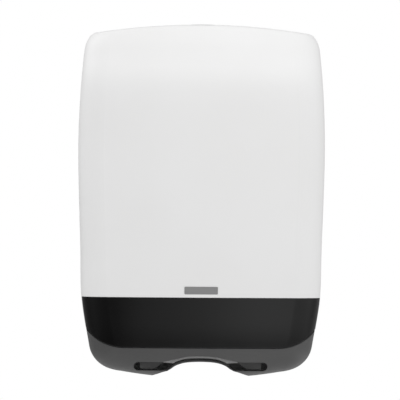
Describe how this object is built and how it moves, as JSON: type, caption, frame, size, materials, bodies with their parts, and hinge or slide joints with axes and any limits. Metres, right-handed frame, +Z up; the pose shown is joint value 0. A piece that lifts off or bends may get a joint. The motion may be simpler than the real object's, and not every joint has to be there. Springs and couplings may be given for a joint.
{
  "type": "folded towel dispenser",
  "caption": "Wall-mounted folded paper towel dispenser: white cover, smoked window, grey base with a finger arch, hinged front, wall plate, tray and push latch.",
  "frame": {"origin": "centre of the four wall screw holes, on the back face of the wall plate", "axes": "+Z up, +Y into the wall, so the front looks along -Y, and +X to the right of someone facing the dispenser"},
  "size_m": [0.3044, 0.134, 0.4317],
  "materials": {
    "cover_white": "satin white moulded plastic",
    "window_smoked": "glossy, smoked, nearly opaque",
    "base_grey": "satin dark grey",
    "inner_grey": "matt dark grey",
    "chassis_grey": "matt light grey",
    "label_grey": "matt mid grey, blank",
    "lock_grey": "satin grey",
    "steel": "zinc-plated steel",
    "zinc": "satin metal",
    "bumper_rubber": "black rubber"
  },
  "bodies": {
    "chassis": {"wall_plate": "chassis_grey", "side_guide_left": "chassis_grey", "side_guide_right": "chassis_grey", "guide_screws": "steel", "towel_tray": "chassis_grey", "tray_screws": "steel", "outlet_guide": "chassis_grey", "outlet_guide_screws": "steel", "hinge_bracket_left": "steel", "hinge_bracket_right": "steel", "bracket_screws": "steel", "hinge_pin_left": "steel", "hinge_pin_right": "steel", "latch_keeper": "inner_grey", "keeper_screws": "steel", "bumper_left": "bumper_rubber", "bumper_right": "bumper_rubber"},
    "door": {"front_cover": "cover_white", "label_plate": "label_grey", "window": "window_smoked", "base": "base_grey", "mouth_plate": "inner_grey", "cover_screws": "steel", "window_screws": "steel", "mouth_plate_screws": "steel", "lock_bezel": "lock_grey", "lock_housing": "inner_grey", "lock_screws": "steel", "latch_spring": "steel"},
    "latch": {"latch_button": "lock_grey"},
    "key": {"key_disc": "zinc"}
  },
  "joints": [
    {"name": "cover_hinge", "type": "hinge", "parent": "chassis", "child": "door", "pos_m": [0, -0.022, -0.194], "axis": [1, 0, 0], "range_deg": [0, 80]},
    {"name": "button_press", "type": "slide", "parent": "door", "child": "latch", "axis": [0, 0, -1], "range_m": [0, 0.007], "stiffness_N_per_m": 400, "springref_m": -0.005, "deforming": ["latch_spring"]},
    {"name": "key_turn", "type": "hinge", "parent": "latch", "child": "key", "pos_m": [0, -0.05, 0.208], "axis": [0, 0, 1], "range_deg": [0, 90]}
  ]
}
